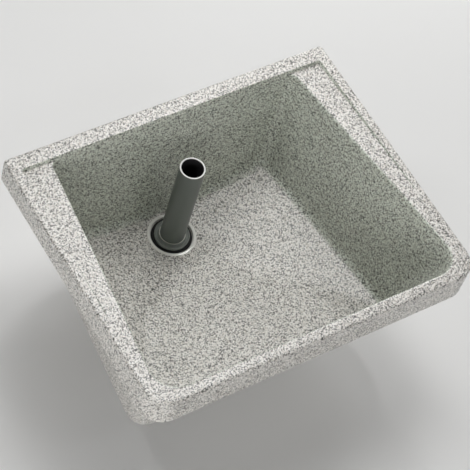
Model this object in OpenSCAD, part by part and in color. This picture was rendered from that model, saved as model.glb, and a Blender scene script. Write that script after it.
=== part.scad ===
// Wall-hung mop sink in cast stone, with a lift-out standpipe waste.
// Seen from the user's side: X runs to the right along the wall, Y points at the wall, Z is up.
// The origin is the middle of the flat back of the rim, which goes against the wall.

/* [Rim] */
// Width along the wall
sink_w = 600; // [540:5:700]
// Depth from the wall to the front edge
sink_d = 485; // [450:5:560]
// Height of the skirt at the back and the sides
skirt_h = 48; // [40:1:60]
// Height of the skirt along the front
apron_h = 61; // [50:1:80]
// Thickness of the skirt
skirt_t = 13; // [9:0.5:13]
// Thickness of the rim's top plate under the decks
deck_t = 16; // [12:1:22]
// Radius of the front corners in plan
front_corner_r = 40; // [35:1:60]
// Radius of the back corners in plan
back_corner_r = 6; // [5:1:30]
// Rounding of the top outer edge
edge_r = 4; // [3:0.5:5]

/* [Side decks] */
// Width of the raised lip along the wall
back_lip_w = 27; // [20:1:35]
// Width of the raised lip at the back end of each side
side_lip_w = 20.5; // [15:0.5:25]
// Height of the lip above the decks at the wall
lip_h = 8; // [4:0.5:12]
// Distance from the wall at which the decks come level with the lip
deck_run = 310; // [250:5:360]

/* [Bowl] */
// Width of the opening at its back edge
mouth_back_w = 456; // [400:2:480]
// Width of the opening at its front edge
mouth_front_w = 558; // [480:2:566]
// Width of the rim in front of the opening
front_rim_w = 20; // [18:1:40]
// Width of the floor at its back edge
floor_back_w = 412; // [360:2:420]
// Width of the floor at its front edge
floor_front_w = 490; // [420:2:500]
// Distance from the wall to the back edge of the floor
floor_back_y = 48; // [46:1:60]
// Distance from the wall to the front edge of the floor
floor_front_y = 402; // [360:1:405]
// Depth of the bowl at the edges of its floor
floor_depth = 217; // [205:1:225]
// Depth of the bowl at the outlet
outlet_depth = 258; // [240:1:280]
// Thickness of the walls under the rim
wall_t = 13; // [11:0.5:13]
// Thickness of the walls at the floor
foot_wall_t = 9; // [8:0.5:13]
// Thickness of the floor at its edges
floor_t = 36; // [28:1:38]
// Radius between the walls and the floor
cove_r = 18; // [10:1:24]

/* [Waste] */
// Distance from the wall to the middle of the outlet
outlet_y = 101; // [95:1:140]
// Radius of the flange
flange_r = 42.6; // [42:0.2:44]
// Radius of the threaded tail
tail_r = 23.9; // [23.9:0.1:24.4]
// Radius of the plain spigot for the waste pipe
spigot_r = 20; // [19:0.5:20.5]
// Radius of the throat
throat_r = 17.6; // [17:0.1:17.8]
// Length of the plain spigot
spigot_l = 28; // [20:1:40]

/* [Standpipe] */
// Outer radius of the tube
tube_r = 21.4; // [21:0.1:21.5]
// Wall thickness of the tube
tube_t = 2.8; // [2:0.1:3.2]
// Length of the tube
tube_l = 200; // [150:5:215]

/* [Hidden] */

fine = 96;          // facets of a turned piece, which carries over as a true circle
coarse = 32;        // facets of the posts that a hull is drawn round
rim_top = skirt_h / 2;
foot_edge_r = 3;    // rounding of the skirt's lower edge

// Bowl corners in plan: radius at the mouth and at the floor
mouth_back_r = 12;
mouth_front_r = 41;
floor_back_r = 24;
floor_front_r = 26;
base_r = 30; // rounding between the walls and the floor on the outside
mouth_back_y = back_lip_w;
mouth_front_y = sink_d - front_rim_w;

// The front apron is deeper than the sides, with a ramp between the two
ramp_back_y = 345;
ramp_front_y = 400;

// Levels at the outlet, measured from the flat of the floor round it
outlet_flat_r = 47; // flat of the floor round the flange
outlet_t = 20;      // thickness of the floor at the outlet
outlet_hole_r = 27;
recess_r = 41.4;    // mouth of the dished recess that takes the flange
lip_top = 1.3;      // the flange stands this far above the floor
plate_top = -4;     // flat of the flange, on which the rubber ring stands
plate_t = 1.8;
plate_r = 36.5;
gasket_t = 1.5;
gasket_in_r = 27.6;
gasket_out_r = 37;
seat = plate_top - plate_t - gasket_t;
washer_t = 3;
washer_r = 41;
slip_t = 1.5;
slip_r = 40;
tail_clear = 0.4;   // gap between the tail and the washers round it
nut_h = 12.5;
nut_collar_h = 3;
nut_collar_r = 38;
nut_hex_r = 36;
nut_play = 0.05;
washer_top = -outlet_t;
slip_top = washer_top - washer_t;
nut_top = slip_top - slip_t;
tail_end = -46;     // end of the thread, where the plain spigot begins
spigot_end = tail_end - spigot_l;
end_chamfer = 1.5;

// Foot of the standpipe
seal_t = 2.8;
seal_in_r = 21.2;
seal_out_r = 35.8;
foot_base = plate_top + seal_t;
foot_r = 30.5;
foot_rim = 3.8;     // top of the foot's outer rim
dish_r = 28.2;
dish_floor = 0.8;
collar_r = 24;
collar_top = 6.4;
collar_seal_t = 1.2;
collar_seal_r = 22.7;
guide_r = throat_r - 0.5;
guide_bore_r = 14.5;
guide_end = -24;

stone = [0.80, 0.79, 0.77];
flange_colour = [0.90, 0.88, 0.84];
pipe_grey = [0.36, 0.38, 0.36];
rubber = [0.05, 0.05, 0.05];

// Half-width of a tapering plan at distance y from the wall
function taper(back_w, front_w, back_y, front_y, y) =
    (back_w + (front_w - back_w) * (y - back_y) / (front_y - back_y)) / 2;
// Middle of a corner of radius r that touches a side of that plan
function corner_x(back_w, front_w, back_y, front_y, y, r) =
    taper(back_w, front_w, back_y, front_y, y)
    - r * sqrt(1 + pow((front_w - back_w) / 2 / (front_y - back_y), 2));

// Upright post of radius r from z = low up to z = high, its edges rounded
module post(r, low, high, low_round, high_round) {
    rotate_extrude($fn = coarse) {
        translate([0, low + low_round]) square([r, high - low - low_round - high_round]);
        translate([0, low]) square([r - low_round, high - low]);
        translate([0, high - high_round]) square([r - high_round, high_round]);
        intersection() {
            translate([r - low_round, low + low_round]) circle(r = low_round, $fn = coarse);
            translate([0, low]) square([r, low_round]);
        }
        intersection() {
            translate([r - high_round, high - high_round]) circle(r = high_round, $fn = coarse);
            translate([0, high - high_round]) square([r, high_round]);
        }
    }
}

// The rim as a solid block: flat back and sides, rounded corners and edges
module rim_block() {
    hull() for (side = [-1, 1]) {
        translate([side * (sink_w / 2 - back_corner_r), -back_corner_r, 0])
            post(back_corner_r, -apron_h, 0, foot_edge_r, edge_r);
        translate([side * (sink_w / 2 - front_corner_r), front_corner_r - sink_d, 0])
            post(front_corner_r, -apron_h, 0, foot_edge_r, edge_r);
    }
}

// What is taken off below the shallower skirt of the back and the sides
module skirt_relief() {
    reach = sink_w;
    rotate([90, 0, 90]) translate([0, 0, -reach / 2]) linear_extrude(height = reach)
        polygon([[10, -skirt_h], [-ramp_back_y, -skirt_h], [-ramp_front_y, -apron_h],
                 [-ramp_front_y, -apron_h - 10], [10, -apron_h - 10]]);
}

// The hollow under the rim, inside the skirt
module rim_hollow() {
    half = sink_w / 2 - skirt_t;
    inner_r = front_corner_r - skirt_t;
    front = -sink_d + skirt_t;
    translate([0, 0, -apron_h - 1]) linear_extrude(height = apron_h + 1 - lip_h - deck_t) {
        translate([-half, front + inner_r]) square([2 * half, -skirt_t - front - inner_r]);
        translate([-half + inner_r, front]) square([2 * (half - inner_r), inner_r + 1]);
        for (side = [-1, 1])
            translate([side * (half - inner_r), front + inner_r]) circle(r = inner_r, $fn = fine);
    }
}

// The form of the bowl: the space inside it, or with grow its outside
module bowl_form(grow, foot_grow, floor_grow, floor_round, top, outlet_grow) {
    hull() {
        for (side = [-1, 1]) {
            for (c = [[mouth_back_y + mouth_back_r, mouth_back_r],
                      [mouth_front_y - mouth_front_r, mouth_front_r]])
                translate([side * corner_x(mouth_back_w, mouth_front_w, mouth_back_y, mouth_front_y,
                                           c[0], c[1]), -c[0], top])
                    cylinder(r = c[1] + grow, h = 1, $fn = coarse);
            for (c = [[floor_back_y + floor_back_r, floor_back_r],
                      [floor_front_y - floor_front_r, floor_front_r]])
                translate([side * corner_x(floor_back_w, floor_front_w, floor_back_y, floor_front_y,
                                           c[0], c[1]), -c[0], 0])
                    post(c[1] + foot_grow, -floor_depth - floor_grow, -floor_depth + floor_round,
                         floor_round, 0);
        }
        translate([0, -outlet_y, -outlet_depth - outlet_grow])
            cylinder(r = outlet_flat_r + grow, h = 1, $fn = coarse);
    }
}

// What is taken off the decks, so that a lip stands up round them
module deck_relief() {
    fall = atan(lip_h / (deck_run - back_lip_w));
    back_half = sink_w / 2 - side_lip_w;
    front_half = back_half + 10;
    length = deck_run - back_lip_w + 5;
    translate([0, -back_lip_w, -lip_h]) rotate([-fall, 0, 0]) linear_extrude(height = lip_h * 3)
        polygon([[-back_half, 0], [back_half, 0], [front_half, -length], [-front_half, -length]]);
}

// Hole for the waste, with a dished recess that takes its flange
module outlet_cut() {
    translate([0, -outlet_y, -outlet_depth]) rotate_extrude($fn = fine)
        polygon([[0, 2], [recess_r, 2], [recess_r, 0], [gasket_out_r + 1.4, seat],
                 [outlet_hole_r, seat], [outlet_hole_r, -outlet_t - 5], [0, -outlet_t - 5]]);
}

module sink_body() {
    color(stone) translate([0, 0, rim_top]) difference() {
        union() {
            difference() {
                rim_block();
                skirt_relief();
                rim_hollow();
            }
            bowl_form(wall_t, foot_wall_t, floor_t, base_r, -edge_r, outlet_t);
        }
        bowl_form(0, 0, 0, cove_r, 0, 0);
        deck_relief();
        outlet_cut();
    }
}

// Places a turned piece on the outlet's axis
module at_outlet() {
    translate([0, -outlet_y, rim_top - outlet_depth]) children();
}

// Ring turned about the outlet's axis
module ring(inner, outer, low, high) {
    rotate_extrude($fn = fine) translate([inner, low]) square([outer - inner, high - low]);
}

// Dished flange, threaded tail and plain spigot in one piece
module waste_fitting() {
    color(flange_colour) at_outlet() rotate_extrude($fn = fine)
        polygon([[throat_r, spigot_end], [throat_r, plate_top - (seal_in_r + 0.8 - throat_r)],
                 [seal_in_r + 0.8, plate_top], [plate_r, plate_top], [plate_r + 3.9, lip_top - 0.4],
                 [plate_r + 4.4, lip_top], [flange_r - 0.6, lip_top], [flange_r, lip_top - 0.6],
                 [flange_r, 0], [recess_r - 0.4, 0], [gasket_out_r + 0.8, plate_top - plate_t],
                 [tail_r, plate_top - plate_t], [tail_r, tail_end], [spigot_r, tail_end],
                 [spigot_r, spigot_end + end_chamfer], [spigot_r - end_chamfer / 2, spigot_end]]);
}

module flange_gasket() {
    color(rubber) at_outlet() ring(gasket_in_r, gasket_out_r, seat, seat + gasket_t);
}

module floor_washer() {
    color(rubber) at_outlet() ring(tail_r + tail_clear, washer_r, slip_top, washer_top);
}

module slip_washer() {
    color(flange_colour) at_outlet() ring(tail_r + tail_clear, slip_r, nut_top, slip_top);
}

module backnut() {
    color(pipe_grey) at_outlet() difference() {
        union() {
            translate([0, 0, nut_top - nut_h]) cylinder(r = nut_hex_r, h = nut_h, $fn = 6);
            translate([0, 0, nut_top - nut_collar_h])
                cylinder(r = nut_collar_r, h = nut_collar_h, $fn = fine);
        }
        translate([0, 0, nut_top - nut_h - 1])
            cylinder(r = tail_r + nut_play, h = nut_h + 2, $fn = fine);
    }
}

// Turned cup with a collar for the tube above and a hollow guide below
module plug_foot() {
    color(pipe_grey) at_outlet() rotate_extrude($fn = fine)
        polygon([[guide_bore_r, guide_end], [guide_bore_r, 0], [tube_r, 0],
                 [tube_r, collar_top - collar_seal_t], [collar_seal_r, collar_top - collar_seal_t],
                 [collar_seal_r, collar_top], [collar_r - 0.5, collar_top],
                 [collar_r, collar_top - 0.5], [collar_r + 0.3, dish_floor + 0.6],
                 [collar_r + 0.9, dish_floor], [dish_r - 0.6, dish_floor],
                 [dish_r, dish_floor + 0.8], [dish_r + 0.7, foot_rim],
                 [foot_r - 0.6, foot_rim], [foot_r, foot_rim - 0.6], [foot_r, foot_base],
                 [seal_in_r, foot_base], [seal_in_r, plate_top + 0.8],
                 [guide_r, plate_top + 0.8], [guide_r, guide_end + end_chamfer],
                 [guide_r - end_chamfer / 2, guide_end]]);
}

// Rubber ring under the foot
module plug_seal() {
    color(rubber) at_outlet() rotate_extrude($fn = fine)
        polygon([[seal_in_r, plate_top], [seal_out_r, plate_top], [seal_out_r, foot_base - 1],
                 [seal_out_r - 1, foot_base], [seal_in_r, foot_base]]);
}

// Ring that seals the tube in the mouth of the collar
module tube_seal() {
    color(flange_colour) at_outlet()
        ring(tube_r, collar_seal_r, collar_top - collar_seal_t, collar_top);
}

module standpipe_tube() {
    color(pipe_grey) at_outlet() difference() {
        cylinder(r = tube_r, h = tube_l, $fn = fine);
        translate([0, 0, -1]) cylinder(r = tube_r - tube_t, h = tube_l + 2, $fn = fine);
    }
}

sink_body();
waste_fitting();
flange_gasket();
floor_washer();
slip_washer();
backnut();
plug_foot();
plug_seal();
tube_seal();
standpipe_tube();
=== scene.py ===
import math

import bpy
from mathutils import Matrix, Vector


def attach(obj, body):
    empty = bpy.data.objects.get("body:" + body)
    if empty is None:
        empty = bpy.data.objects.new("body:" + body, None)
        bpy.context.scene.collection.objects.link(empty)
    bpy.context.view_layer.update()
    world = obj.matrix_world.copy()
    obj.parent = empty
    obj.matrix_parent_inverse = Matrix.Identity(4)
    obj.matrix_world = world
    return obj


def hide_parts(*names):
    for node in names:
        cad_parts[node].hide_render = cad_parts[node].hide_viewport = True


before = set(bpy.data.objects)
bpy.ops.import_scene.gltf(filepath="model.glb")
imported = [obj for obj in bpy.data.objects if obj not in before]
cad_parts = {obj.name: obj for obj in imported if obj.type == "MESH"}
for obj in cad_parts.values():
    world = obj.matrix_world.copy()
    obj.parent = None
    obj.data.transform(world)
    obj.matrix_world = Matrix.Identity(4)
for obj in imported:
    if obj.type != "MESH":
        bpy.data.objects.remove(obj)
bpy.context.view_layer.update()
mm = 0.001
print("frame loaded")


# selecting and finishing, used by every piece

def deselectAll():
    if bpy.context.mode != "OBJECT":
        bpy.ops.object.mode_set(mode="OBJECT")
    bpy.ops.object.select_all(action="DESELECT")


def makeActive(obj):
    deselectAll()
    obj.select_set(True)
    bpy.context.view_layer.objects.active = obj


def clearPicks(obj):
    if bpy.context.mode != "OBJECT":
        bpy.ops.object.mode_set(mode="OBJECT")
    for part in (obj.data.vertices, obj.data.edges, obj.data.polygons):
        part.foreach_set("select", [False] * len(part))


def pickVerts(obj, wanted):
    # wanted is asked about the place of each vertex; called in edit mode
    bpy.ops.mesh.select_mode(type="VERT")
    clearPicks(obj)
    for v in obj.data.vertices:
        v.select = bool(wanted(v.co))
    bpy.ops.object.mode_set(mode="EDIT")


def pickFaces(obj, wanted):
    bpy.ops.mesh.select_mode(type="FACE")
    clearPicks(obj)
    for f in obj.data.polygons:
        f.select = bool(wanted(f.center, f.normal))
    bpy.ops.object.mode_set(mode="EDIT")


def applyModifiers(obj):
    makeActive(obj)
    for m in list(obj.modifiers):
        bpy.ops.object.modifier_apply(modifier=m.name)


def settle(obj):
    # the place goes into the mesh, and the object sits at the origin
    makeActive(obj)
    bpy.ops.object.transform_apply(location=True, rotation=True, scale=True)


def closeUp(obj, turn=40, edge=0.0, cuts=3, edgeTurn=28):
    # merge, point the faces outward, round the edges and smooth
    makeActive(obj)
    bpy.ops.object.mode_set(mode="EDIT")
    bpy.ops.mesh.select_all(action="SELECT")
    bpy.ops.mesh.remove_doubles(threshold=0.00001)
    bpy.ops.mesh.normals_make_consistent(inside=False)
    bpy.ops.object.mode_set(mode="OBJECT")
    if edge:
        rounding = obj.modifiers.new("rounding", "BEVEL")
        rounding.width = edge * mm
        rounding.segments = cuts
        rounding.limit_method = "ANGLE"
        rounding.angle_limit = math.radians(edgeTurn)
        applyModifiers(obj)
    makeActive(obj)
    bpy.ops.object.shade_smooth_by_angle(angle=math.radians(turn))
    weigh = obj.modifiers.new("weigh", "WEIGHTED_NORMAL")
    weigh.keep_sharp = True
    weigh.weight = 70
    applyModifiers(obj)
    obj.vertex_groups.clear()


def finishPiece(obj, body, replaced, slotName, *materials):
    settle(obj)
    for m in materials:
        obj.data.materials.append(m)
    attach(obj, body)
    if replaced:
        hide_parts(*replaced)
    print(obj.name, len(obj.data.polygons), "faces")


# the camera stands where the photograph was taken from

cameraSet = {
    "place": (-1.39892, -1.52124, 2.66338),
    "right": (0.840523, -0.505440, 0.195070),
    "up": (0.337762, 0.770385, 0.540762),
    "back": (-0.423601, -0.388636, 0.818245),
    "lens": 158.92,
}


def addCamera(s):
    data = bpy.data.cameras.new("camera")
    data.sensor_width = 36.0
    data.lens = s["lens"]
    data.clip_end = 30
    cam = bpy.data.objects.new("camera", data)
    bpy.context.scene.collection.objects.link(cam)
    m = Matrix.Identity(4)
    for row in range(3):
        m[row][0] = s["right"][row]
        m[row][1] = s["up"][row]
        m[row][2] = s["back"][row]
        m[row][3] = s["place"][row]
    cam.matrix_world = m
    bpy.context.scene.camera = cam


addCamera(cameraSet)
print("camera placed")


# outlines are single loops of vertices, which are joined and bridged into a closed form

cornerCuts = 12
backPoints = 3
loopCount = 4 * (cornerCuts + 1) + backPoints
# loops of one level are set this far apart in height, in mm, so that each bridges to the next
hair = 0.02


def nameLoop(obj, name):
    bpy.ops.object.mode_set(mode="OBJECT")
    obj.name = name
    group = obj.vertex_groups.new(name=name)
    group.add(range(len(obj.data.vertices)), 1.0, "REPLACE")
    return obj


def addRing(name, radius, z, centreY, count=loopCount):
    deselectAll()
    bpy.ops.mesh.primitive_circle_add(vertices=count, radius=radius * mm, fill_type="NOTHING")
    obj = bpy.context.object
    bpy.ops.object.mode_set(mode="EDIT")
    bpy.ops.mesh.select_all(action="SELECT")
    bpy.ops.transform.translate(value=(0, -centreY * mm, z * mm))
    return nameLoop(obj, name)


def addOutline(name, backY, frontY, backHalf, frontHalf, backCorner, frontCorner, z):
    # a plane with points along its back edge, its front edge widened and its corners
    # rounded; distances are from the wall, in mm
    deselectAll()
    bpy.ops.mesh.primitive_plane_add(size=2)
    obj = bpy.context.object
    long = (frontY - backY) / 2
    middle = -(frontY + backY) / 2 * mm
    bpy.ops.object.mode_set(mode="EDIT")
    bpy.ops.mesh.select_all(action="SELECT")
    bpy.ops.transform.resize(value=(backHalf * mm, long * mm, 1))
    bpy.ops.transform.translate(value=(0, middle, z * mm))
    pickVerts(obj, lambda c: c.y > middle)
    bpy.ops.mesh.subdivide(number_cuts=backPoints)
    pickVerts(obj, lambda c: c.y < middle)
    bpy.ops.transform.resize(value=(frontHalf / backHalf, 1, 1), center_override=(0, 0, 0))
    slant = math.atan2(frontHalf - backHalf, frontY - backY)
    for corner, half, turn, end in ((backCorner, backHalf, math.pi / 2 - slant, 1),
                                    (frontCorner, frontHalf, math.pi / 2 + slant, -1)):
        pickVerts(obj, lambda c: abs((c.y - middle) * end - long * mm) < 1e-6
                  and abs(c.x) > (half - 1) * mm)
        bpy.ops.mesh.bevel(offset=corner * math.tan(turn / 2) * mm, offset_type="OFFSET",
                           segments=cornerCuts, profile=0.5, affect="VERTICES",
                           clamp_overlap=False)
    bpy.ops.mesh.select_all(action="SELECT")
    bpy.ops.mesh.delete(type="ONLY_FACE")
    return nameLoop(obj, name)


def bridgeLoops(loops, name):
    # each loop to the next, and the last to the first
    order = [o.name for o in loops]
    deselectAll()
    for o in loops:
        o.select_set(True)
    bpy.context.view_layer.objects.active = loops[0]
    bpy.ops.object.join()
    form = loops[0]
    form.name = name
    bpy.ops.object.mode_set(mode="EDIT")
    bpy.ops.mesh.select_mode(type="EDGE")
    for a, b in zip(order, order[1:] + order[:1]):
        bpy.ops.mesh.select_all(action="DESELECT")
        for loop in (a, b):
            form.vertex_groups.active_index = form.vertex_groups[loop].index
            bpy.ops.object.vertex_group_select()
        bpy.ops.mesh.bridge_edge_loops(type="SINGLE")
    return form


# the sink, one casting: its outlines run from the outlet up the inside, over the rim,
# and down the outside to the outlet again. Heights are from the top of the lip

sink = {
    "lift": 24,             # the frame's origin lies this far under the lip
    "width": 600, "depth": 485,
    "backCorner": 6, "frontCorner": 40, "edgeRoll": 4, "edgeDrop": 0.03,
    "skirt": 48, "apron": 61, "skirtWall": 13, "footRoll": 3,
    "rampBack": 345, "rampFront": 400, "ceiling": 24,
    "lipHeight": 8, "deckRun": 310, "backLip": 27,
    "lipLineBack": 280, "lipLineFront": 291.5, "lipBackCorner": 4, "lipFrontCorner": 36,
    "mouthBackHalf": 228, "mouthFrontHalf": 279, "mouthFront": 465,
    "mouthBackCorner": 12, "mouthFrontCorner": 41,
    "floorBack": 48, "floorFront": 402, "floorBackHalf": 206, "floorFrontHalf": 245,
    "floorBackCorner": 24, "floorFrontCorner": 26, "floorDepth": 217, "cove": 18,
    "wall": 13, "footWall": 9, "floorWall": 36, "baseRoll": 30,
    "outletY": 101, "outletDepth": 258, "outletFlat": 47, "outletWall": 20,
    "hole": 27, "recess": 41.4, "seat": 38.4, "seatDepth": 7.3,
}

# the loops of the two soft rolls round the mouth
sinkRolls = {
    # from the wall on to the decks: name, how far out, height, its back line
    "mouth": (("mouthLow", -0.7, -5.0, 28.4), ("mouthA", 0.2, -2.4, 28.2),
              ("mouthB", 1.7, -0.7, 28.0), ("mouthTop", 4.4, -0.06, 27.8)),
    # the step up to the lip, in a soft S: name, how far out, its back line, its front line
    "step": (("stepFoot", -0.9, 27.3, 473.6), ("stepA", -0.4, 27.1, 474.1),
             ("stepB", 0.1, 26.8, 474.6), ("stepC", 0.6, 26.2, 475.1),
             ("stepTop", 1.3, 25.0, 475.8)),
    "stepRise": 0.01,       # rise of the step's loops for each mm outward
    # share of the decks' tilt that each loop takes
    "tilt": (("stepC", 0.06), ("stepB", 0.3), ("stepA", 0.72), ("stepFoot", 1.0),
             ("mouthTop", 1.0), ("mouthB", 1.0), ("mouthA", 1.0), ("mouthLow", 1.0)),
}

# the back of the bowl, in the middle and beside the outlet: the angle up the rounding, 0 at the
# floor, and then places as (x, distance from the wall, height)
sinkBack = {
    "cove": ((77, (0, 48.4, -204), (98, 48.4, -205)), (60, (0, 50.4, -223), (98, 50.3, -222)),
             (45, (0, 51.9, -237), (98, 51.4, -230)), (30, (0, 53.0, -248), (98, 53.6, -235)),
             (15, (0, 53.6, -254), (98, 57.5, -238)), (0, (0, 53.9, -257), (96, 64.5, -241))),
    "base": ((77, (0, 35.8, -225), (98, 37.0, -224)), (60, (0, 38.0, -247), (98, 39.4, -245)),
             (40, (0, 39.6, -263), (98, 41.6, -256)), (20, (0, 40.5, -272), (98, 46.0, -262.3)),
             (0, (0, 40.9, -276), (98, 58.0, -267.7))),
}


def sinkRing(name, radius, z):
    return addRing(name, radius, z, sink["outletY"])


def rimOutline(name, inset, z):
    s = sink
    half = s["width"] / 2 - inset
    return addOutline(name, inset, s["depth"] - inset, half, half,
                      max(s["backCorner"] - inset, 1.2), max(s["frontCorner"] - inset, 1.2), z)


def bowlOutline(name, fall, out, z):
    # fall is 0 at the mouth and 1 at the floor, out is how far outside the bowl's own face
    s = sink

    def between(a, b):
        return s[a] + (s[b] - s[a]) * fall

    return addOutline(name, between("backLip", "floorBack") - out,
                      between("mouthFront", "floorFront") + out,
                      between("mouthBackHalf", "floorBackHalf") + out,
                      between("mouthFrontHalf", "floorFrontHalf") + out,
                      between("mouthBackCorner", "floorBackCorner") + out,
                      between("mouthFrontCorner", "floorFrontCorner") + out, z)


def addSinkLoops(s):
    bottom = -s["outletDepth"]
    loops = [sinkRing("seatIn", s["hole"], bottom - s["seatDepth"]),
             sinkRing("seatOut", s["seat"], bottom - s["seatDepth"] + hair),
             sinkRing("recessTop", s["recess"], bottom - 0.5),
             sinkRing("recessEdge", s["recess"] + 0.5, bottom - hair),
             sinkRing("flatEdge", s["outletFlat"], bottom)]
    for step in (0, 15, 30, 45, 60, 77):
        a = math.radians(step)
        loops.append(bowlOutline(f"cove{step}", 1.0, -s["cove"] * (1 - math.sin(a)),
                                 -s["floorDepth"] + s["cove"] * (1 - math.cos(a))))
    for name, out, z, back in sinkRolls["mouth"]:
        loops.append(addOutline(name, back, s["mouthFront"] + out, s["mouthBackHalf"] + out,
                                s["mouthFrontHalf"] + out, s["mouthBackCorner"] + out,
                                s["mouthFrontCorner"] + out, z))
    topOut = sinkRolls["step"][-1][1]
    for name, out, back, front in sinkRolls["step"]:
        loops.append(addOutline(name, back, front, s["lipLineBack"] + out,
                                s["lipLineFront"] + out, s["lipBackCorner"],
                                s["lipFrontCorner"] - out,
                                sinkRolls["stepRise"] * (out - topOut)))
    for step in (0, 20, 45, 70, 90):
        a = math.radians(step)
        loops.append(rimOutline(f"edge{step}", s["edgeRoll"] * (1 - math.sin(a)),
                                -s["edgeRoll"] * (1 - math.cos(a)) - s["edgeDrop"]))
    for step in (0, 30, 60, 90):
        a = math.radians(step)
        loops.append(rimOutline(f"foot{step}", s["footRoll"] * (1 - math.cos(a)),
                                -s["skirt"] + s["footRoll"] * (1 - math.sin(a))))
    loops.append(rimOutline("footInner", s["skirtWall"] - 1.2, -s["skirt"] + hair))
    loops.append(rimOutline("skirtInner", s["skirtWall"], -s["skirt"] + 1.2))
    loops.append(rimOutline("ceiling", s["skirtWall"], -s["ceiling"]))
    # the outside of the bowl
    loops.append(bowlOutline("neck", s["ceiling"] / s["floorDepth"], s["wall"] - 0.5,
                             -s["ceiling"] - 0.1))
    base = -s["floorDepth"] - s["floorWall"]
    for step in (77, 60, 40, 20, 0):
        a = math.radians(step)
        out = s["footWall"] - s["baseRoll"] * (1 - math.sin(a))
        loops.append(bowlOutline(f"base{step}", 1.0, out, base + s["baseRoll"] * (1 - math.cos(a))))
    boss = s["outletFlat"] + s["wall"]
    loops.append(sinkRing("bossEdge", boss, bottom - s["outletWall"] + 1.0))
    loops.append(sinkRing("bossFlat", boss - 1.5, bottom - s["outletWall"]))
    loops.append(sinkRing("holeLow", s["hole"], bottom - s["outletWall"] + hair))
    return loops


def pickLoop(obj, name, wanted):
    # vertices of one loop, by their place
    bpy.ops.mesh.select_mode(type="VERT")
    clearPicks(obj)
    index = obj.vertex_groups[name].index
    picked = []
    for v in obj.data.vertices:
        v.select = wanted(v.co) and any(g.group == index and g.weight > 0.5 for g in v.groups)
        if v.select:
            picked.append(v.co.copy())
    bpy.ops.object.mode_set(mode="EDIT")
    return picked


def buildSink(s):
    form = bridgeLoops(addSinkLoops(s), "sinkBody")
    print("sink outlines bridged")

    # behind the outlet the wall runs down to it, so the cove and the base's rounding taper
    # away towards the middle of the back
    for kind, column in sinkBack.items():
        for step, *places in column:
            for k, side in ((0, 0), (1, -1), (1, 1)):
                x, y, z = places[k]
                at = pickLoop(form, f"{kind}{step}",
                              lambda c: abs(c.x - side * 0.1) < 0.03 and c.y > -0.1)[0]
                bpy.ops.transform.translate(value=(side * x * mm - at.x, -y * mm - at.y,
                                                   z * mm - at.z))

    # the decks: cut where they come level, then each loop behind that line is tilted
    half = s["width"] / 2
    pickFaces(form, lambda c, n: c.z > -12 * mm and abs(c.x) < (half - 5.5) * mm
              and -440 * mm < c.y < -30 * mm)
    bpy.ops.mesh.bisect(plane_co=(0, -s["deckRun"] * mm, 0), plane_no=(0, 1, 0))
    tilt = math.atan2(s["lipHeight"], s["deckRun"] - s["backLip"])
    for name, share in sinkRolls["tilt"]:
        pickLoop(form, name, lambda c: c.y > -(s["deckRun"] - 1) * mm)
        bpy.ops.transform.rotate(value=tilt * share, orient_axis="X", orient_type="GLOBAL",
                                 center_override=(0, -s["deckRun"] * mm, 0))

    # the apron: the skirt is cut at both ends of its ramp, and the front is drawn down
    sideIn = (half - s["skirtWall"] - 0.5) * mm
    frontIn = -(s["depth"] - s["skirtWall"] - 0.5) * mm
    for y in (s["rampBack"], s["rampFront"]):
        pickFaces(form, lambda c, n: abs(c.x) > sideIn and c.y < -20 * mm
                  and -(s["skirt"] + 4) * mm < c.z < -(s["edgeRoll"] + 0.5) * mm)
        bpy.ops.mesh.bisect(plane_co=(0, -y * mm, 0), plane_no=(0, 1, 0))
    pickVerts(form, lambda c: -(s["skirt"] + 2) * mm < c.z < -(s["skirt"] - 6) * mm
              and c.y < -(s["rampFront"] - 1) * mm and not (abs(c.x) < sideIn and c.y > frontIn))
    bpy.ops.transform.translate(value=(0, 0, -(s["apron"] - s["skirt"]) * mm))

    bpy.ops.mesh.select_all(action="SELECT")
    bpy.ops.transform.translate(value=(0, 0, s["lift"] * mm))
    closeUp(form, turn=38)
    return form


# materials: nodes are added, joined and set by these few

def newMaterial(name):
    m = bpy.data.materials.new(name)
    m.use_nodes = True
    return m


def shaderOf(m):
    return m.node_tree.nodes["Principled BSDF"]


def setShader(m, **values):
    for key, value in values.items():
        shaderOf(m).inputs[key.replace("_", " ")].default_value = value


def addNode(m, kind, inputs=(), **settings):
    node = m.node_tree.nodes.new(kind)
    for key, value in settings.items():
        setattr(node, key, value)
    for key, value in dict(inputs).items():
        if isinstance(value, bpy.types.NodeSocket):
            m.node_tree.links.new(value, node.inputs[key])
        else:
            node.inputs[key].default_value = value
    return node


def objectPlace(m, stretch=(1, 1, 1)):
    place = addNode(m, "ShaderNodeTexCoord").outputs["Object"]
    return addNode(m, "ShaderNodeMapping", {"Vector": place, "Scale": stretch}).outputs["Vector"]


def noise(m, place, scale, detail=2.0, rough=0.5):
    return addNode(m, "ShaderNodeTexNoise", {"Vector": place, "Scale": scale, "Detail": detail,
                                             "Roughness": rough}).outputs["Fac"]


def ramp(m, source, *stops):
    node = addNode(m, "ShaderNodeValToRGB", {"Fac": source})
    band = node.color_ramp
    while len(band.elements) < len(stops):
        band.elements.new(0.5)
    for element, (at, colour) in zip(band.elements, stops):
        element.position = at
        element.color = (colour, colour, colour, 1) if isinstance(colour, (int, float)) \
            else (*colour, 1)
    return node.outputs["Color"]


def mixColour(m, kind, share, a, b):
    node = addNode(m, "ShaderNodeMix", data_type="RGBA", blend_type=kind)
    for index, value in ((0, share), (6, a), (7, b)):
        if isinstance(value, bpy.types.NodeSocket):
            m.node_tree.links.new(value, node.inputs[index])
        elif isinstance(value, tuple):
            node.inputs[index].default_value = (*value, 1)
        else:
            node.inputs[index].default_value = value
    return node.outputs[2]


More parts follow.
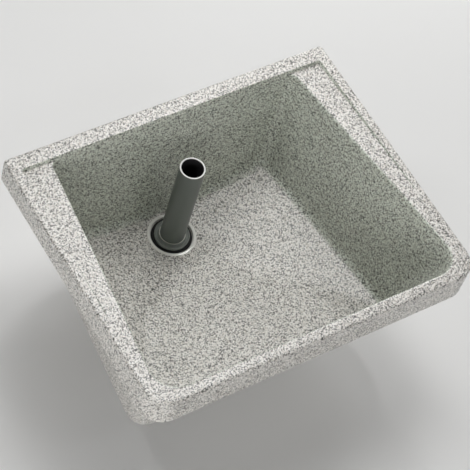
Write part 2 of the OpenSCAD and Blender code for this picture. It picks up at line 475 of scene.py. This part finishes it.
def spread(m, source, low, high):
    # from low at 0 to high at 1
    return addNode(m, "ShaderNodeMapRange", {"Value": source, "To Min": low,
                                             "To Max": high}).outputs["Result"]


def shareOf(m, source, start, end):
    # 0 at start and 1 at end
    return addNode(m, "ShaderNodeMapRange", {"Value": source, "From Min": start,
                                             "From Max": end}).outputs["Result"]


def dress(m, colour=None, rough=None, height=None, strength=0.2, deep=0.3):
    # joins what was made to the shader
    links = m.node_tree.links
    if colour is not None:
        links.new(colour, shaderOf(m).inputs["Base Color"])
    if rough is not None:
        links.new(rough, shaderOf(m).inputs["Roughness"])
    if height is not None:
        bump = addNode(m, "ShaderNodeBump", {"Height": height, "Strength": strength,
                                             "Distance": deep * mm})
        links.new(bump.outputs["Normal"], shaderOf(m).inputs["Normal"])


stoneLook = {
    "dark": (0.045, 0.046, 0.042), "grey": (0.285, 0.28, 0.25), "warm": (0.66, 0.60, 0.54),
    "pale": (0.78, 0.745, 0.695), "white": (0.97, 0.945, 0.90),
    # how the grains are shared out among the tones
    "tones": ((0.0, "dark"), (0.16, "dark"), (0.18, "grey"), (0.27, "grey"), (0.30, "warm"),
              (0.42, "pale"), (0.51, "pale"), (0.55, "white")),
    "grain": 640, "ragged": 500, "warp": 0.0011,
    "flecks": 520, "fleckStops": ((0.365, 0.85), (0.40, 0.0)),
    "dust": 1600, "dustStops": ((0.3, 0.84), (0.7, 1.0)),
    # painted shade: the tint that the inward walls take, and where along their facing it starts and
    # is full
    "middle": (0, 0.24, 0), "paintedShadeTint": (0.93, 1.0, 0.945), "paintedShadeTintNone": -0.06, "paintedShadeTintFull": -0.14,
    "roughLow": 0.22, "roughHigh": 0.36, "gloss": 0.6, "relief": 0.5, "reliefDeep": 0.7,
}


def makeStone(look):
    m = newMaterial("castStone")
    place = objectPlace(m)
    # crushed stone of several tones in a pale binder; the grains' edges are ragged
    ragged = addNode(m, "ShaderNodeTexNoise", {"Vector": place, "Scale": look["ragged"],
                                               "Detail": 2.0})
    centred = addNode(m, "ShaderNodeVectorMath", {0: ragged.outputs["Color"], 1: (0.5, 0.5, 0.5)},
                      operation="SUBTRACT")
    pushed = addNode(m, "ShaderNodeVectorMath", {0: centred.outputs[0], 1: (look["warp"],) * 3},
                     operation="MULTIPLY")
    warped = addNode(m, "ShaderNodeVectorMath", {0: place, 1: pushed.outputs[0]}).outputs[0]
    cells = addNode(m, "ShaderNodeTexVoronoi", {"Vector": warped, "Scale": look["grain"]})
    parts = addNode(m, "ShaderNodeSeparateColor", {"Color": cells.outputs["Color"]})
    grains = ramp(m, parts.outputs["Red"], *((at, look[tone]) for at, tone in look["tones"]))
    flecks = noise(m, place, look["flecks"], 3, 0.66)
    colour = mixColour(m, "MIX", ramp(m, flecks, *look["fleckStops"]), grains, look["dark"])
    dust = noise(m, place, look["dust"], 2, 0.6)
    colour = mixColour(m, "MULTIPLY", 1.0, colour, ramp(m, dust, *look["dustStops"]))
    # painted shade: the walls that face into the bowl are tinted a little greener and darker, as
    # they look in shade
    facing = addNode(m, "ShaderNodeNewGeometry").outputs["Normal"]
    fromMiddle = addNode(m, "ShaderNodeVectorMath", {0: place, 1: (1, 1, 0), 2: look["middle"]},
                         operation="MULTIPLY_ADD").outputs[0]
    outward = addNode(m, "ShaderNodeVectorMath", {0: fromMiddle, 1: facing},
                      operation="DOT_PRODUCT").outputs["Value"]
    paintedShadeTint = shareOf(m, outward, look["paintedShadeTintNone"], look["paintedShadeTintFull"])
    colour = mixColour(m, "MULTIPLY", paintedShadeTint, colour, look["paintedShadeTint"])
    dress(m, colour, spread(m, parts.outputs["Green"], look["roughLow"], look["roughHigh"]),
          flecks, look["relief"], look["reliefDeep"])
    setShader(m, Specular_IOR_Level=look["gloss"])
    return m


plasticLook = {
    # the foot is the tube's grey plastic, made paler as a painted sheen for its glossier surface
    "flange": (0.99, 0.97, 0.92), "pipe": (0.150, 0.168, 0.154), "foot": (0.30, 0.32, 0.30),
    "pipeCut": (0.90, 0.91, 0.88),
    # painted shade: the tube's bore is coloured near-black, as it looks in shade
    "pipeBorePaintedShade": (0.045, 0.043, 0.047), "nut": (0.10, 0.11, 0.105),
}


def makePlastic(name, colour, rough, vary=0.12, bump=0.05, streak=(1, 1, 1)):
    # moulded plastic: slight cloudiness, and a fine skin that breaks up the gloss
    m = newMaterial(name)
    place = objectPlace(m, streak)
    cloud = noise(m, place, 22, 4, 0.55)
    dull = tuple(c * (1 - vary) for c in colour)
    lit = tuple(min(1, c * (1 + vary)) for c in colour)
    skin = noise(m, place, 900, 2, 0.5)
    dress(m, ramp(m, cloud, (0.3, dull), (0.7, lit)),
          spread(m, cloud, rough * 0.8, rough * 1.25), skin, bump, 0.1)
    return m


def makeRubber(name, colour, rough):
    m = newMaterial(name)
    place = objectPlace(m)
    dust = noise(m, place, 120, 4, 0.6)
    dress(m, ramp(m, dust, (0.35, colour), (0.8, tuple(c * 1.6 + 0.002 for c in colour))),
          spread(m, dust, rough * 0.85, rough * 1.2), noise(m, place, 700, 2), 0.15, 0.15)
    return m


castStone = makeStone(stoneLook)
finishPiece(buildSink(sink), "basin", ["sink_body"], "stone", castStone)


# turned pieces of the waste and the standpipe: rings of (radius, height over the floor's flat)

level = sink["lift"] - sink["outletDepth"]


def turnPiece(name, profile, edge, cuts=3, count=96, edgeTurn=28):
    loops = [addRing(f"{name}{k}", r, level + z + hair * (k % 2), sink["outletY"], count)
             for k, (r, z) in enumerate(profile)]
    piece = bridgeLoops(loops, name)
    closeUp(piece, edge=edge, cuts=cuts, edgeTurn=edgeTurn)
    return piece


waste = {
    "profile": ((17.6, -74), (17.6, -8.4), (22, -4), (36.6, -4), (37.0, 0.3), (37.8, 1.3),
                (42.0, 1.3), (42.6, 0.7), (42.6, 0), (41.0, 0), (37.8, -5.8), (23.9, -5.8),
                (23.9, -18), (23.0, -19), (23.0, -46), (20, -46), (20, -72.6), (19.2, -74)),
    "edge": 0.35,
    "threadCore": 22.8, "threadCrest": 23.88, "pitch": 2.3, "threadTop": -22, "threadLow": -45.6,
    "toothFoot": 0.9,       # as a share of the pitch
    "toothCrest": 0.22,     # as a share of the foot
}


def buildThread(s):
    # one tooth is drawn as a trapezium beside the axis, and screwed round it
    deselectAll()
    bpy.ops.mesh.primitive_plane_add(size=1, rotation=(math.pi / 2, 0, 0))
    thread = bpy.context.object
    thread.name = "wasteThread"
    settle(thread)
    wide = s["threadCrest"] - s["threadCore"]
    bpy.ops.object.mode_set(mode="EDIT")
    bpy.ops.mesh.select_all(action="SELECT")
    bpy.ops.transform.resize(value=(wide * mm, 1, s["pitch"] * s["toothFoot"] * mm))
    bpy.ops.transform.translate(value=((s["threadCore"] + wide / 2) * mm, 0, 0))
    pickVerts(thread, lambda c: c.x > (s["threadCore"] + wide / 2) * mm)
    bpy.ops.transform.resize(value=(1, 1, s["toothCrest"]))
    bpy.ops.mesh.select_all(action="SELECT")
    bpy.ops.mesh.delete(type="ONLY_FACE")
    bpy.ops.object.mode_set(mode="OBJECT")
    turns = int((s["threadTop"] - s["threadLow"]) / s["pitch"]) - 1
    screw = thread.modifiers.new("screw", "SCREW")
    screw.axis = "Z"
    screw.angle = math.tau
    screw.screw_offset = s["pitch"] * mm
    screw.iterations = turns
    screw.steps = screw.render_steps = 64
    applyModifiers(thread)
    low = s["threadLow"] + s["pitch"] / 2
    bpy.ops.object.mode_set(mode="EDIT")
    bpy.ops.mesh.select_mode(type="EDGE")
    bpy.ops.mesh.select_all(action="DESELECT")
    bpy.ops.mesh.select_non_manifold()
    bpy.ops.mesh.edge_face_add()
    bpy.ops.mesh.select_all(action="SELECT")
    bpy.ops.transform.translate(value=(0, -sink["outletY"] * mm, (level + low) * mm))
    closeUp(thread, turn=30)
    return thread


flangeWhite = makePlastic("flangeWhite", plasticLook["flange"], 0.12, vary=0.03, bump=0.02)
setShader(flangeWhite, Specular_IOR_Level=1.0, Coat_Weight=1.0, Coat_Roughness=0.05)
finishPiece(turnPiece("wasteFitting", waste["profile"], waste["edge"]), "basin",
            ["waste_fitting"], "flange_plastic", flangeWhite)
finishPiece(buildThread(waste), "basin", [], "flange_plastic", flangeWhite)

underside = {
    "floorWasher": ((24.3, -23), (24.3, -20), (41, -20), (41, -23)),
    "slipWasher": ((24.3, -24.5), (24.3, -23), (40, -23), (40, -24.5)),
    "flangeGasket": ((27.6, -7.3), (27.6, -5.8), (37, -5.8), (37, -7.3)),
}
blackRubber = makeRubber("blackRubber", (0.008, 0.008, 0.008), 0.5)
setShader(blackRubber, Specular_IOR_Level=0.2)
finishPiece(turnPiece("floorWasher", underside["floorWasher"], 0.5), "basin",
            ["floor_washer"], "black_rubber", blackRubber)
finishPiece(turnPiece("flangeGasket", underside["flangeGasket"], 0.3), "basin",
            ["flange_gasket"], "black_rubber", blackRubber)
finishPiece(turnPiece("slipWasher", underside["slipWasher"], 0.25), "basin",
            ["slip_washer"], "flange_plastic", flangeWhite)

nut = {"bore": 23.95, "hex": 36, "collar": 38, "top": -24.5, "collarLow": -27.5, "low": -37,
       "chamfer": 2.2}


def buildNut(s):
    # six-sided loops are cut into short edges, so that they bridge to the round ones
    around = 72

    def hexLoop(name, across, z):
        loop = addRing(name, across, level + z, sink["outletY"], 6)
        makeActive(loop)
        bpy.ops.object.mode_set(mode="EDIT")
        bpy.ops.mesh.select_all(action="SELECT")
        bpy.ops.mesh.subdivide(number_cuts=around // 6 - 1)
        bpy.ops.object.mode_set(mode="OBJECT")
        loop.vertex_groups[name].add(range(len(loop.data.vertices)), 1.0, "REPLACE")
        return loop

    def roundLoop(name, radius, z):
        return addRing(name, radius, level + z, sink["outletY"], around)

    flat = s["hex"] * math.cos(math.pi / 6)
    loops = [roundLoop("nutBoreLow", s["bore"], s["low"] + 0.8),
             roundLoop("nutBoreTop", s["bore"], s["top"] - 0.8),
             roundLoop("nutFaceIn", s["bore"] + 0.8, s["top"]),
             roundLoop("nutFaceOut", s["collar"] - 0.4, s["top"] - hair),
             roundLoop("nutRimTop", s["collar"], s["top"] - 0.4),
             roundLoop("nutRimLow", s["collar"], s["collarLow"] + 0.4),
             roundLoop("nutRimUnder", s["collar"] - 0.4, s["collarLow"]),
             hexLoop("nutHexTop", s["hex"], s["collarLow"] - hair),
             hexLoop("nutHexLow", s["hex"], s["low"] + s["chamfer"]),
             roundLoop("nutChamfer", flat - 0.6, s["low"]),
             roundLoop("nutFaceLow", s["bore"] + 0.8, s["low"] + hair)]
    piece = bridgeLoops(loops, "backNut")
    closeUp(piece, turn=25, edge=0.3, cuts=2, edgeTurn=40)
    return piece


nutGrey = makePlastic("nutGrey", plasticLook["nut"], 0.42)
finishPiece(buildNut(nut), "basin", ["backnut"], "pipe_plastic", nutGrey)

# the standpipe: a turned foot with its seals, and the tube that stands in it
plugFoot = {
    "profile": ((14.5, -24), (14.5, 0), (21.4, 0), (21.4, 5.2), (22.7, 5.2), (22.7, 6.4),
                (23.5, 6.4), (24, 5.9), (24.25, 1.9), (25.0, 0.9), (26.6, 0.8), (27.7, 1.2),
                (28.4, 2.2), (28.9, 3.8), (29.9, 3.8), (30.5, 3.2), (30.5, -1.2), (21.2, -1.2),
                (21.2, -3.2), (17.1, -3.2), (17.1, -22.5), (16.4, -24)),
    "seal": ((21.2, -4), (35.2, -4), (35.8, -3.5), (35.8, -2.2), (34.8, -1.2), (21.2, -1.2)),
    "tubeSeal": ((21.4, 5.2), (22.7, 5.2), (22.7, 6.1), (22.3, 6.4), (21.4, 6.4)),
    "tube": ((18.6, 0), (18.6, 199.2), (19.1, 200), (21.0, 200), (21.4, 199.6), (21.4, 0.6),
             (21.0, 0)),
    "sawnFrom": 198.9, "paintedShadeTo": 199.1, "boreWithin": 18.9,
}
pipeGrey = makePlastic("pipeGrey", plasticLook["pipe"], 0.38, vary=0.09, streak=(1, 1, 0.2))
# grey plastic with painted sheen: paler than the tube's, for the foot's glossier surface
footGreyAndSheen = makePlastic("footGreyAndSheen", plasticLook["foot"], 0.14, vary=0.1, bump=0.02)
setShader(footGreyAndSheen, Specular_IOR_Level=0.8)
pipeCut = makePlastic("pipeCut", plasticLook["pipeCut"], 0.5, vary=0.04)
pipeBorePaintedShade = makePlastic("pipeBorePaintedShade", plasticLook["pipeBorePaintedShade"], 0.5, vary=0.2)
paleRubber = makeRubber("paleRubber", (0.86, 0.84, 0.78), 0.4)

finishPiece(turnPiece("plugFoot", plugFoot["profile"], 0.2, cuts=2), "standpipe",
            ["plug_foot"], "pipe_plastic", footGreyAndSheen)
finishPiece(turnPiece("plugSeal", plugFoot["seal"], 0.4), "standpipe",
            ["plug_seal"], "black_rubber", blackRubber)
finishPiece(turnPiece("tubeSeal", plugFoot["tubeSeal"], 0.2, cuts=2), "standpipe",
            ["tube_seal"], "pale_rubber", paleRubber)


def buildTube(s):
    tube = turnPiece("standpipeTube", s["tube"], 0.15, cuts=2, edgeTurn=40)
    for m in (pipeGrey, pipeCut, pipeBorePaintedShade):
        tube.data.materials.append(m)
    makeActive(tube)
    bpy.ops.object.mode_set(mode="EDIT")
    # the sawn end is paler; painted shade: the bore is the same grey plastic, coloured near-black
    # as the inside of the tube looks in shade
    axis = -sink["outletY"] * mm
    for slot, wanted in (
            (1, lambda c, n: c.z > (level + s["sawnFrom"]) * mm and n.z > 0.15),
            (2, lambda c, n: c.z < (level + s["paintedShadeTo"]) * mm
             and math.hypot(c.x, c.y - axis) < s["boreWithin"] * mm)):
        pickFaces(tube, wanted)
        tube.active_material_index = slot
        bpy.ops.object.material_slot_assign()
    bpy.ops.object.mode_set(mode="OBJECT")
    return tube


finishPiece(buildTube(plugFoot), "standpipe", ["standpipe_tube"], "pipe_plastic")


# plain soft studio: a pale floor and a few large lamps

stage = {"floor": (0.86, 0.86, 0.85), "floorZ": -0.3085, "sky": (1.0, 1.0, 1.0), "skyLevel": 0.0}

lampAim = (0, -0.24, 0)
lampFar = 2.2
# name, degrees round from the front, degrees up, size, watts
lamps = (
    ("keyHigh", 143, 75, 0.8, 15.4),
    ("keyBack", 186, 66, 0.8, 4.5),
    ("keyMid", 147, 61, 0.8, 2.3),
    ("keyLow", 140, 50, 0.36, 6.3),
    ("edgeBack", 230, 50, 0.4, 4.0),
    ("edgeFront", 39, 48, 0.3, 2.0),
    ("lowBackRight", 135, 16, 1.2, 19.7),
    ("lowFrontLeft", 318, 16, 1.2, 12.5),
    ("lowLeft", 290, 6, 0.8, 9.0),
    ("lowFront", 0, 16, 1.2, 3.3),
    ("lowFrontRight", 45, 16, 1.2, 2.5),
)


def addStage(s):
    deselectAll()
    bpy.ops.mesh.primitive_plane_add(size=12, location=(0, 0, s["floorZ"]))
    floor = bpy.context.object
    floor.name = "studioFloor"
    settle(floor)
    paint = newMaterial("floorPaint")
    shaderOf(paint).inputs["Base Color"].default_value = (*s["floor"], 1)
    shaderOf(paint).inputs["Roughness"].default_value = 0.9
    floor.data.materials.append(paint)
    world = bpy.data.worlds.new("sky")
    bpy.context.scene.world = world
    world.use_nodes = True
    sky = world.node_tree.nodes["Background"]
    sky.inputs["Color"].default_value = (*s["sky"], 1)
    sky.inputs["Strength"].default_value = s["skyLevel"]


def addLamp(name, around, up, size, watts):
    a, e = math.radians(around), math.radians(up)
    away = Vector((math.cos(e) * math.sin(a), -math.cos(e) * math.cos(a), math.sin(e)))
    data = bpy.data.lights.new(name, "AREA")
    data.size = size
    data.energy = watts
    lamp = bpy.data.objects.new(name, data)
    bpy.context.scene.collection.objects.link(lamp)
    lamp.location = Vector(lampAim) + away * lampFar
    lamp.rotation_euler = away.to_track_quat("Z", "Y").to_euler()


addStage(stage)
for lamp in lamps:
    addLamp(*lamp)
bpy.context.scene.view_settings.view_transform = "Standard"
print("stage and lamps placed")
